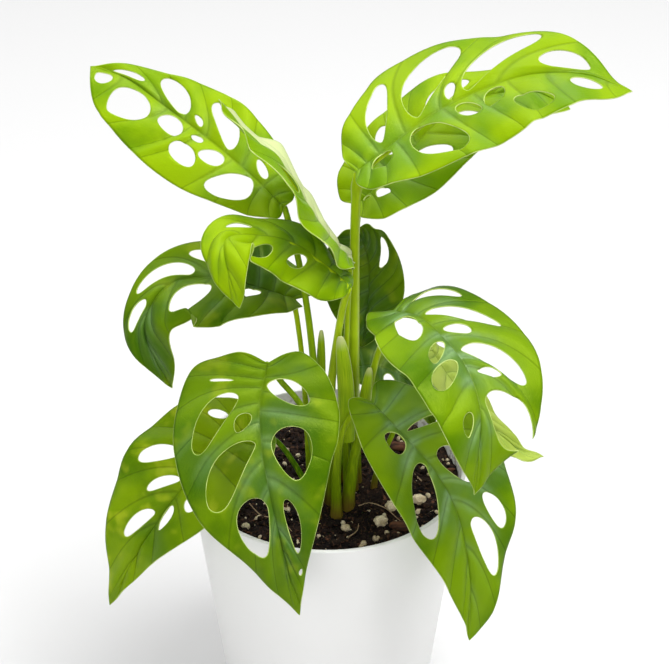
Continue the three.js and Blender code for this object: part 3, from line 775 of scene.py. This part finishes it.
def leaf_skins(name, dark, light, painted_sheen_share=0.1, mottle=0.0, painted_sheen_half=0.0, gloss=0.36):
    """Upper side, underside and rim of a blade, with a painted grey sheen that follows its midrib."""
    skins = []
    for part in ("upper", "under"):
        upper = part == "upper"
        skin = Finish(f"{name}_{part}", gloss, 0.42 if upper else 0.2, SAP_SHEEN)
        place = skin.place()
        veins = skin.node("UVMap", uv_map="veins").outputs["UV"]
        parts = skin.node("SeparateXYZ", {"Vector": veins})
        count, across = parts.outputs["X"], skin.maths("ABSOLUTE", parts.outputs["Y"])
        cloud = skin.clouds(place, 34.0, 3.0)
        fine = skin.clouds(place, 420.0, 4.0)
        gap = skin.maths("PINGPONG", count, 0.5)
        stretched = skin.stretch(veins, (5.0, 16.0, 1.0))
        cells = skin.node("TexVoronoi", {"Vector": stretched, "Scale": 1.6},
                          feature="DISTANCE_TO_EDGE")
        net = skin.step(cells.outputs["Distance"], 0.0, 0.10, 1.0, 0.0)
        vein_width = skin.step(across, 0.0, 1.0, 0.10, 0.04)
        vein = skin.step(skin.maths("DIVIDE", gap, vein_width), 0.0, 1.0, 1.0, 0.0)
        rib = skin.step(across, 0.0, 0.05, 1.0, 0.0)
        lines = skin.maths("MAXIMUM", vein, rib)
        tone = skin.mix(skin.step(cloud, 0.36, 0.64), dark, light)
        tone = skin.mix(skin.times(net, 0.10), tone, light)
        if upper:
            # Painted sheen: a pale grey green near the midrib and side veins stands in for reflected
            # light.
            drift = skin.clouds(place, 22.0, 2.0)
            drift = skin.times(across, skin.times(drift, 2.0))
            painted_sheen = skin.step(drift, 0.15, 0.95, 1.0, 0.0)
            painted_sheen = skin.times(painted_sheen, skin.step(gap, 0.05, 0.30, 1.0, 0.25))
            painted_sheen = skin.times(painted_sheen, skin.step(cloud, 0.34, 0.62, 1.0, 0.15))
            painted_sheen = skin.times(painted_sheen, skin.maths("ADD", skin.times(fine, 0.8), 0.5))
            painted_sheen = skin.times(painted_sheen, painted_sheen_share)
            tone = skin.mix(painted_sheen, tone, (0.24, 0.40, 0.17))
            sheen = skin.mix(painted_sheen, SAP_SHEEN, (0.9, 1.0, 0.8))
            skin.feed("Specular Tint", sheen)
            if painted_sheen_half:
                # Painted sheen: one half of the blade is painted pale, standing in for light glancing
                # off it.
                pale = skin.step(parts.outputs["Y"], -0.08, 0.02, painted_sheen_half, 0.0)
                tone = skin.mix(pale, tone, (0.62, 0.66, 0.36))
            if mottle:
                spots = skin.clouds(place, 75.0, 2.0)
                yellow = skin.times(skin.step(spots, 0.55, 0.70), mottle)
                tone = skin.mix(yellow, tone, (0.42, 0.50, 0.02))
            tone = skin.mix(skin.times(lines, 0.3), tone, [c * 0.6 for c in dark])
        else:
            tone = skin.mix(0.35, tone, (0.30, 0.42, 0.08))
            tone = skin.mix(skin.times(lines, 0.6), tone, (0.34, 0.46, 0.10))
        skin.feed("Base Color", tone)
        rough = skin.step(cloud, 0.3, 0.7, gloss - 0.06, gloss + 0.08)
        skin.feed("Roughness", rough)
        height = skin.maths("SUBTRACT", skin.times(fine, 0.35), skin.times(lines, 0.9))
        height = skin.maths("SUBTRACT", height, skin.times(net, 0.25))
        bump = skin.node("Bump", {"Height": height, "Strength": 0.35, "Distance": 0.0004})
        bump.invert = not upper
        skin.feed("Normal", bump.outputs["Normal"])
        glow = skin.node("BsdfTranslucent")
        sunlit = [min(1.0, c * 2.2) for c in light]
        skin.wire(skin.mix(lines, sunlit, dark), glow.inputs["Color"])
        skin.wire(bump.outputs["Normal"], glow.inputs["Normal"])
        mixed = skin.node("MixShader", {"Fac": 0.2})
        skin.wire(skin.shader.outputs["BSDF"], mixed.inputs[1])
        skin.wire(glow.outputs["BSDF"], mixed.inputs[2])
        ends = skin.material.node_tree.nodes["Material Output"].inputs
        skin.wire(mixed.outputs["Shader"], ends["Surface"])
        skins.append(skin)
    rim = Finish(f"{name}_rim", 0.45, 0.3)
    rim_place = rim.place()
    rim_tone = rim.clouds(rim_place, 160.0, 2.0)
    rim_tone = rim.step(rim_tone, 0.35, 0.65)
    rim.feed("Base Color", rim.mix(rim_tone, (0.28, 0.40, 0.06), (0.46, 0.56, 0.16)))
    return [*skins, rim]


FOOT_BROWN = (0.16, 0.07, 0.02)


def stalk_skin(name, low, high):
    """Fleshy stalk: fine lengthwise fibres, one tone low down and a paler one towards the leaf."""
    skin = Finish(name, 0.4, 0.4, SAP_SHEEN)
    place = skin.place()
    height = skin.node("SeparateXYZ", {"Vector": place}).outputs["Z"]
    long_grain = skin.stretch(place, (900.0, 900.0, 35.0))
    fibres = skin.clouds(long_grain, 1.0, 3.0)
    cloud = skin.clouds(place, 60.0, 2.0)
    tone = skin.mix(skin.step(height, 0.15, 0.22), low, high)
    fibre_share = skin.step(fibres, 0.40, 0.70, 0.0, 0.45)
    tone = skin.mix(fibre_share, tone, [c * 1.5 for c in high])
    cloud_share = skin.step(cloud, 0.35, 0.7, 0.0, 0.3)
    tone = skin.mix(cloud_share, tone, [c * 0.7 for c in low])
    earthy = skin.times(skin.step(height, 0.133, 0.146, 1.0, 0.0), 0.8)
    tone = skin.mix(earthy, tone, FOOT_BROWN)
    skin.feed("Base Color", tone)
    skin.emboss(fibres, 0.25, 0.0003)
    return skin


deep_stalk = stalk_skin("deep_green_stalk", (0.045, 0.13, 0.002), (0.22, 0.36, 0.004))
bright_stalk = stalk_skin("bright_green_stalk", (0.17, 0.28, 0.003), (0.32, 0.45, 0.006))
# The bright green of the upper leaves and the mid green of the lower and back leaves are partly their
# own colours and partly painted light and painted shade.
mid_green = leaf_skins("mid_green_leaf", (0.035, 0.105, 0.001), (0.12, 0.22, 0.001), 0.4, mottle=0.25)
# This skin carries the most painted sheen: pale grey green that stands in for reflected light.
painted_sheen_green = leaf_skins("waxy_green_leaf", (0.06, 0.15, 0.001), (0.16, 0.28, 0.001), 1.0)
old_green = leaf_skins("old_green_leaf", (0.075, 0.17, 0.001), (0.20, 0.32, 0.001), 0.05, mottle=0.6)
bright_green = leaf_skins("bright_green_leaf", (0.12, 0.25, 0.001), (0.25, 0.39, 0.001), 0.25)
edge_green = leaf_skins("edge_green_leaf", (0.15, 0.29, 0.001), (0.26, 0.42, 0.002), 0.3,
                        painted_sheen_half=0.85)
pale_green = leaf_skins("pale_green_leaf", (0.30, 0.42, 0.05), (0.45, 0.55, 0.12), 0.3)


def grow_leaf(name, skins, stalk_finish, midrib, face, left, right, holes, stalk, seed,
              lobe=(0.02, 0.02), fold=(10, 10, 10, 10), curl=(10, 10), wave=1.1):
    """One leaf with its stalk, in millimetres and degrees, with heights above the potting mix.

    The face is the way the blade looks at base and tip. Left and right are half widths at the
    stations. Lobe is how far each half reaches back past the base, as a share of the length. Fold is
    each half's lift at base and tip, and curl its bend down to the margin. A hole has its half, start
    and end along, start and end across, and lean. A stalk has its radii, its path and maybe a knee.
    """
    form = blade_form(midrib, face, left, right, lobe, fold, curl)
    blade = grow_blade(f"blade_{name}", form, holes, skins, wave, seed)
    finish_piece(blade, f"blade_{name}", None, (f"leaf_{name}",))
    stem = grow_stalk(f"stem_{name}", form, *stalk)
    finish_piece(stem, f"stem_{name}", stalk_finish, (f"stalk_{name}",))


# ---- Back leaf ----
# A small blade behind the stalks that hangs tip down and turns its upper side to the front. Its
# long stalk bows out backwards from the others.

grow_leaf(
    "back_centre", mid_green, deep_stalk, seed=1,
    midrib=((14, 28, 116), (19, 30, 98), (19, 28, 79), (16, 22, 57)),
    face=((0, -1, 0.2), (0, -1, 0.2)),
    left=(10, 14, 16, 13, 5), right=(16, 20, 21, 16, 6),
    holes=(("L", 0.37, 0.48, 0.3, 0.85, -0.2), ("R", 0.3, 0.38, 0.3, 0.66, 0),
        ("R", 0.5, 0.6, 0.3, 0.7, 0)),
    stalk=(1.8, 1.2, ((6, -4), (6, 1, 17), (7, 33, 51), (9, 39, 87), (13, 38, 111))),
)


# ---- Low back leaf ----
# A small dark blade low down behind the front right leaf, on the shortest of the back stalks and
# mostly hidden.

grow_leaf(
    "low_back", mid_green, deep_stalk, seed=2,
    midrib=((11, 16, 50), (24, 16, 51), (39, 10, 44), (50, 2, 26)),
    face=((0.2, -0.3, 0.9), (0.2, -0.3, 0.9)),
    left=(12, 15, 14, 9, 3), right=(12, 15, 14, 9, 3),
    holes=(("L", 0.5, 0.6, 0.3, 0.7, 0), ("R", 0.5, 0.6, 0.3, 0.7, 0)),
    stalk=(1.5, 1, ((12, 4), (11.5, 6, 15), (9, 13, 42))),
)


# ---- Small pale leaf ----
# A small young blade without holes behind the right leaves, pale yellow green. Its stalk leans
# out to the right.

grow_leaf(
    "pale_small", pale_green, bright_stalk, seed=3,
    midrib=((47, 6, 66), (58, 0, 51), (74, -6, 33), (88, -10, 21), (99, -12, 19)),
    face=((0.3, -0.3, 0.9), (0.3, -0.3, 0.9)),
    left=(8, 10, 8, 5, 2), right=(12, 15, 13, 9, 4),
    holes=(),
    stalk=(1.5, 1, ((22, -9), (26, -12, 22), (38, -7, 50))),
)


# ---- Upper right leaf ----
# The largest and highest leaf, held almost level on the thickest stalk, which swells into a knee
# just below the blade. Its holes lie in two rows.

grow_leaf(
    "top_right", bright_green, bright_stalk, seed=4,
    midrib=((12, -12, 163), (32, -4, 176), (46, 2, 184), (65, 6, 192), (84, 6, 198), (104, 0, 200),
        (122, -8, 196)),
    face=((-0.1, -0.5, 0.85), (0, -0.5, 0.85)),
    left=(22, 33, 27, 20, 4), right=(20, 30, 32, 28, 15),
    lobe=(0, 0.02), fold=(0, 0, 20, 20), curl=(15, 15),
    holes=(("L", 0.31, 0.41, 0.12, 0.87, 0.08), ("L", 0.46, 0.57, 0.07, 0.92, 0.06),
        ("L", 0.575, 0.605, 0.07, 0.32, 0), ("L", 0.62, 0.71, 0.07, 0.94, 0.04),
        ("L", 0.76, 0.86, 0.3, 0.85, -0.02), ("R", 0.21, 0.32, 0.08, 0.48, -0.04),
        ("R", 0.38, 0.52, 0.06, 0.85, 0), ("R", 0.57, 0.625, 0.12, 0.44, 0),
        ("R", 0.65, 0.71, 0.1, 0.42, -0.05), ("R", 0.68, 0.775, 0.46, 0.87, 0.02),
        ("R", 0.85, 0.92, 0.31, 0.75, 0)),
    stalk=(3.2, 2, ((11, -10), (11.5, -10.5, 50), (11.5, -10.5, 107), (12, -10, 147)), 0.3),
)


# ---- Leaf under the upper right leaf ----
# A slightly smaller blade of the same age that hangs just behind and below the top one, on a
# stalk of its own.

grow_leaf(
    "top_right_under", bright_green, bright_stalk, seed=5,
    midrib=((13, 10, 137), (30, 22, 150), (51, 38, 166), (67, 44, 172), (89, 44, 175),
        (106, 38, 169)),
    face=((-0.1, -0.5, 0.85), (0, -0.5, 0.85)),
    left=(18, 21, 18, 12, 5), right=(20, 26, 27, 24, 14),
    lobe=(0.02, 0.03), fold=(10, 10, 20, 20), curl=(15, 15),
    holes=(("L", 0.4, 0.48, 0.2, 0.8, 0), ("L", 0.6, 0.7, 0.2, 0.8, 0),
        ("R", 0.15, 0.21, 0.1, 0.3, 0), ("R", 0.24, 0.31, 0.2, 0.48, 0),
        ("R", 0.45, 0.54, 0.15, 0.7, 0), ("R", 0.64, 0.72, 0.2, 0.8, 0)),
    stalk=(2, 1.4, ((14, -3), (13, 0, 57), (13, 5, 102), (13, 10, 122))),
)


# ---- Upper left leaf ----
# A broad blade that leans out to the left on a thin stalk, with its holes in two rows and an
# almost straight back margin.

grow_leaf(
    "upper_left", bright_green, deep_stalk, seed=6,
    midrib=((-18, -4, 143), (-30, 8, 150), (-50, 22, 162), (-70, 34, 173), (-86, 42, 182),
        (-102, 46, 186)),
    face=((-0.1, -0.6, 0.8), (-0.1, -0.6, 0.8)),
    left=(14, 23, 26, 23, 18), right=(12, 20, 20, 12, 3.5),
    lobe=(0.02, 0), curl=(20, 20),
    holes=(("L", 0.32, 0.47, 0.05, 0.84, 0), ("L", 0.51, 0.59, 0.06, 0.38, 0),
        ("L", 0.55, 0.65, 0.32, 0.66, -0.05), ("L", 0.62, 0.66, 0.06, 0.2, 0),
        ("L", 0.68, 0.76, 0.06, 0.42, -0.03), ("L", 0.76, 0.89, 0.12, 0.86, -0.04),
        ("L", 0.92, 0.965, 0.25, 0.88, 0), ("R", 0.33, 0.41, 0.14, 0.4, 0.02),
        ("R", 0.51, 0.61, 0.09, 0.8, 0.03), ("R", 0.65, 0.68, 0.12, 0.34, 0),
        ("R", 0.68, 0.77, 0.12, 0.92, -0.03), ("R", 0.82, 0.92, 0.39, 0.78, -0.05)),
    stalk=(2.1, 1.4, ((-4, -23.5), (-3.5, -20.5, 32), (-6, -14, 72), (-9, -8, 99), (-13, -5, 123))),
)


# ---- Leaf seen on edge ----
# A young blade that stands up on its short stalk beside the upper left leaf, turned so that it
# looks narrow from the front. Its right half is painted pale, a painted sheen of glancing light.

grow_leaf(
    "edge_on", edge_green, bright_stalk, wave=1.8, seed=7,
    midrib=((11, -19, 124), (-3, -16, 142), (-18, -13, 167), (-31, -10, 178), (-43, -8, 193)),
    face=((0.75, 0.28, 0.55), (0.75, 0.28, 0.55)),
    left=(14, 18, 15, 9, 3), right=(6, 15, 17, 13, 5),
    lobe=(0, 0), fold=(-16, -16, 10, 10), curl=(0, 0),
    holes=(("L", 0.6, 0.7, 0.3, 0.7, 0),),
    stalk=(1.8, 1.2, ((9, -16.5), (8, -16, 57), (9, -15, 103))),
)


# ---- Curled leaf ----
# The youngest full leaf, still rolled along its length and bent over at the tip, in front of the
# other stalks.

grow_leaf(
    "curled", bright_green, bright_stalk, seed=8,
    midrib=((10, -27.5, 118), (1, -25, 126), (-14, -22, 136), (-28, -25, 141), (-40, -33, 144),
        (-40.5, -43, 139), (-35, -50, 121)),
    face=((0, -0.1, 1), (-0.3, -0.8, 0.5)),
    left=(14, 17, 15, 11, 5), right=(7, 13, 12, 9, 4),
    lobe=(0, 0), fold=(-40, 0, -22, -5), curl=(-20, 0),
    holes=(("L", 0.42, 0.5, 0.15, 0.6, 0), ("L", 0.58, 0.66, 0.3, 0.8, 0),
        ("R", 0.66, 0.72, 0.25, 0.6, 0)),
    stalk=(2.8, 1.6, ((1, -20), (1, -20, 32), (2, -20.5, 67), (6, -24, 102))),
)


# ---- Middle left leaf ----
# A narrow blade that arches out to the left and down, its tip curving back under it. It hangs
# at mid height.

grow_leaf(
    "mid_left", mid_green, bright_stalk, seed=9,
    midrib=((-14, -2, 97), (-29, -4, 104), (-45, -4, 109), (-64, -6, 109), (-74, -12, 103),
        (-78, -20, 90), (-67, -28, 68)),
    face=((0, -0.3, 1), (-0.5, -0.8, 0.5)),
    left=(14, 26, 26, 16, 8), right=(24, 20, 14, 10, 4),
    lobe=(0.02, 0.1), fold=(20, 20, 10, 10), curl=(20, 20),
    holes=(("L", 0.35, 0.42, 0.13, 0.38, 0), ("L", 0.54, 0.68, 0.18, 0.8, 0.07),
        ("R", 0.48, 0.55, 0.23, 0.8, 0.03), ("R", 0.59, 0.69, 0.1, 0.83, 0.02),
        ("R", 0.73, 0.79, 0.2, 0.81, -0.03)),
    stalk=(1.7, 1.2, ((-8, -16), (-9, -12, 32), (-11, -6, 67), (-13, -4, 87))),
)


# ---- Middle right leaf ----
# A broad blade with a wide painted grey sheen that arches forward to the right, with long slanting
# holes, one of them open at the margin.

grow_leaf(
    "mid_right", painted_sheen_green, bright_stalk, seed=10,
    midrib=((28, -24, 104), (40, -34, 106), (55, -56, 99), (61, -74, 88), (60, -84, 73),
        (59, -88, 56)),
    face=((0.1, -0.1, 1), (0.4, -0.9, 0.4)),
    left=(22, 31, 30, 22, 6), right=(24, 29, 26, 18, 4),
    lobe=(0, 0.05), curl=(15, 15),
    holes=(("L", 0.24, 0.32, 0.34, 0.84, 0.1), ("L", 0.37, 0.45, 0.08, 0.8, 0.13),
        ("L", 0.46, 0.51, 0.07, 0.37, 0.03), ("L", 0.57, 0.645, 0.07, 0.8, 0.05),
        ("L", 0.65, 0.675, 0.13, 0.46, -0.01), ("L", 0.695, 0.8, 0.14, 1.04, -0.02),
        ("R", 0.29, 0.45, 0.14, 0.6, 0), ("R", 0.51, 0.565, 0.09, 0.54, 0.02),
        ("R", 0.58, 0.66, 0.15, 0.78, 0), ("R", 0.75, 0.8, 0.38, 0.7, 0)),
    stalk=(3.2, 1.4, ((9.5, -22.5), (12, -20.5, 25), (16.5, -17, 48), (20.5, -15.5, 70),
        (25, -18, 89))),
)


# ---- Low left leaf ----
# An old blade that hangs low over the left of the pot on a short stalk, a little yellow between
# its veins.

grow_leaf(
    "low_left", old_green, deep_stalk, seed=11,
    midrib=((-33, -24, 42), (-50, -34, 34), (-65, -44, 24), (-81, -50, 1), (-92, -52, -20),
        (-99, -52, -34)),
    face=((-0.4, -0.5, 0.8), (-0.5, -0.8, 0.4)),
    left=(24, 25, 17, 7, 2), right=(29, 33, 29, 17, 5),
    lobe=(0.05, 0.05),
    holes=(("L", 0.51, 0.56, 0.37, 0.66, -0.03), ("L", 0.61, 0.68, 0.1, 0.51, 0),
        ("R", 0.22, 0.29, 0.5, 0.72, 0.02), ("R", 0.45, 0.52, 0.34, 0.82, 0.04),
        ("R", 0.55, 0.6, 0.1, 0.48, 0.05), ("R", 0.67, 0.74, 0.14, 0.66, 0.04)),
    stalk=(1.7, 1.2, ((-8, -24), (-11, -23, 15), (-22, -20, 33))),
)


# ---- Front left leaf ----
# A heart-shaped blade that hangs over the front of the pot with its tip pointing down. A short
# tear lies near its tip.

grow_leaf(
    "front_left", mid_green, deep_stalk, seed=12,
    midrib=((-25, -38, 87), (-28, -52, 75), (-27, -66, 62), (-24, -76, 49), (-19, -84, 27),
        (-12, -90, -6)),
    face=((0, -0.5, 0.85), (0, -0.9, 0.4)),
    left=(31, 32, 23, 11, 3), right=(31, 36, 31, 16, 5),
    lobe=(0.06, 0.02), fold=(5, 5, 5, 5), curl=(15, 15),
    holes=(("L", 0.22, 0.345, 0.06, 0.64, 0.05), ("L", 0.44, 0.6, 0.15, 0.74, 0),
        ("L", 0.66, 0.76, 0.33, 0.8, 0.04), ("L", 0.79, 0.81, 0.8, 0.92, -0.02),
        ("R", 0.28, 0.294, 0.4, 0.7, 0.02), ("R", 0.34, 0.45, 0.26, 0.8, 0.1),
        ("R", 0.4, 0.46, 0.09, 0.3, 0.02), ("R", 0.5, 0.6, 0.07, 0.84, 0.06),
        ("R", 0.64, 0.77, 0.12, 0.82, 0)),
    stalk=(1.8, 1.3, ((-4.5, -31.5), (-5.5, -31.5, 27), (-10, -31, 57), (-20, -33, 75))),
)


# ---- Front right leaf ----
# A long heart-shaped blade that arches over the right front of the pot rim, with a painted grey
# sheen along its midrib.

grow_leaf(
    "front_right", painted_sheen_green, bright_stalk, seed=13,
    midrib=((19, -30, 62), (32, -41, 53), (46, -52, 41), (56, -61, 24), (61, -70, 0),
        (62, -78, -32)),
    face=((0.3, -0.5, 0.8), (0.4, -0.9, 0.3)),
    left=(20, 30, 27, 16, 9), right=(18, 25, 24, 13, 3),
    lobe=(0.04, 0.05),
    holes=(("L", 0.36, 0.395, 0.08, 0.7, 0.02), ("L", 0.48, 0.59, 0.13, 0.5, 0.02),
        ("L", 0.6, 0.655, 0.52, 0.88, 0.01), ("L", 0.67, 0.77, 0.22, 0.9, 0.02),
        ("R", 0.32, 0.415, 0.07, 0.47, -0.02), ("R", 0.48, 0.62, 0.1, 0.86, 0.08)),
    stalk=(2.8, 1.4, ((4, -29.5), (4, -29.5, 25), (6.5, -29, 45), (13, -27.5, 56))),
)


# ---- Sheaths ----
# Thin scales that once wrapped each new leaf. They still stand against the stalks, rounded in section
# to fit them, pale along their edges and drying at the tip.

SHEATHS = (
    ("broad", 7.2, ((8.5, -25.6, 37), (8.5, -25, 57), (7.2, -25.4, 77), (5.5, -26, 93))),
    ("right", 5.0, ((14.6, -23.4, 38), (16, -21.6, 53), (18.6, -19.6, 73))),
    ("left", 4.0, ((-3.2, -12, 39), (-2.8, -11.5, 62), (-2.5, -11, 87))),
)


SHEATH_STEPS = 60
SHEATH_WRAP = math.radians(68)
SHEATH_THICKNESS = 0.6 * MM


def grow_sheath(width, path):
    """A long scale: a flat grid bent round the stalk behind it, narrowing to a rounded point."""
    places, directions, _ = even_line([over_soil(p) for p in path], SHEATH_STEPS)
    let_go()
    bpy.ops.mesh.primitive_grid_add(x_subdivisions=SHEATH_STEPS, y_subdivisions=16, size=2.0)
    scale = bpy.context.object
    for vertex in scale.data.vertices:
        share = (vertex.co.x + 1) / 2
        spot = min(int(share * SHEATH_STEPS), SHEATH_STEPS - 1)
        ahead = directions[spot]
        front = Vector((0.0, -1.0, 0.3))
        front = (front - ahead * front.dot(ahead)).normalized()
        side = ahead.cross(front)
        radius = width * MM / 2 * math.sqrt(max(0.02, 1 - 0.98 * share ** 4)) / math.sin(SHEATH_WRAP)
        turn = vertex.co.y * SHEATH_WRAP
        middle = places[spot].lerp(places[spot + 1], share * SHEATH_STEPS - spot)
        vertex.co = (middle + side * radius * math.sin(turn)
                     - front * radius * (1 - math.cos(turn)) + front * 0.4 * MM)
    thicken(scale, SHEATH_THICKNESS)
    soft = scale.modifiers.new("soft_edges", "SUBSURF")
    soft.levels = soft.render_levels = 1
    bpy.ops.object.modifier_apply(modifier="soft_edges")
    return scale


sheath = Finish("sheath_green", 0.45, 0.3, SAP_SHEEN)
sheath_place = sheath.node("TexCoord").outputs["UV"]
sheath_map = sheath.node("SeparateXYZ", {"Vector": sheath_place})
sheath_grain = sheath.stretch(sheath_place, (4.0, 34.0, 1.0))
sheath_fibres = sheath.clouds(sheath_grain, 1.0, 3.0)
sheath_across = sheath.maths("SUBTRACT", sheath_map.outputs["Y"], 0.5)
sheath_across = sheath.maths("ABSOLUTE", sheath_across)
sheath_tone = sheath.step(sheath_fibres, 0.35, 0.65)
sheath_tone = sheath.mix(sheath_tone, (0.20, 0.36, 0.004), (0.36, 0.50, 0.01))
sheath_edge = sheath.step(sheath_across, 0.38, 0.5, 0.0, 0.8)
sheath_tip = sheath.step(sheath_map.outputs["X"], 0.85, 1.0, 0.0, 0.8)
sheath_dry = sheath.maths("MAXIMUM", sheath_edge, sheath_tip)
sheath.feed("Base Color", sheath.mix(sheath_dry, sheath_tone, (0.58, 0.60, 0.30)))
sheath.emboss(sheath_fibres, 0.4, 0.0003)
for name, width, path in SHEATHS:
    scale = grow_sheath(width, path)
    finish_piece(scale, f"scale_{name}", sheath, (f"sheath_{name}",))
